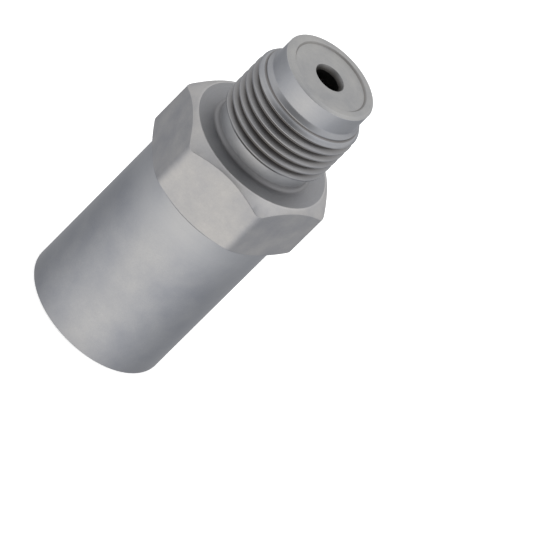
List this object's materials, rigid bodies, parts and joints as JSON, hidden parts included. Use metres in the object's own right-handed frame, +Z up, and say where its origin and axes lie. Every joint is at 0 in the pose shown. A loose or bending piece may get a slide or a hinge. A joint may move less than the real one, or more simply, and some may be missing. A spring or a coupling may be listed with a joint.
{
  "type": "oil pressure limiting valve",
  "caption": "Screw-in oil pressure valve: hex body with threaded nose, sealing lip and oil hole; plain barrel holds a spring-loaded ball seat and a threaded return port.",
  "frame": {"origin": "centre of the barrel's flat end, on the axis", "axes": "+Z runs up the turned axis from the barrel's flat end to the nose; -Y faces one flat of the hexagon, and +X points at one of its corners"},
  "size_m": [0.0268, 0.0236, 0.0549],
  "materials": {
    "body_steel": "satin turned, light grey",
    "hardened_steel": "ground",
    "spring_steel": "oil-tempered, dark",
    "copper": "annealed soft metal"
  },
  "bodies": {
    "housing": {"valve_body": "body_steel", "seat_gasket": "copper", "seat_insert": "hardened_steel", "guide_sleeve": "hardened_steel", "pressure_spring": "spring_steel", "stop_sleeve": "body_steel", "spring_seat": "body_steel", "shim_thick": "hardened_steel", "shim_medium": "hardened_steel", "shim_thin": "hardened_steel", "retaining_screw": "body_steel"},
    "closing_piece": {"valve_ball": "hardened_steel", "valve_piston": "hardened_steel", "spring_plate": "body_steel"}
  },
  "joints": [
    {"name": "valve_lift", "type": "slide", "parent": "housing", "child": "closing_piece", "axis": [0, 0, -1], "range_m": [0, 0.0012], "stiffness_N_per_m": 4000, "deforming": ["pressure_spring"]}
  ]
}
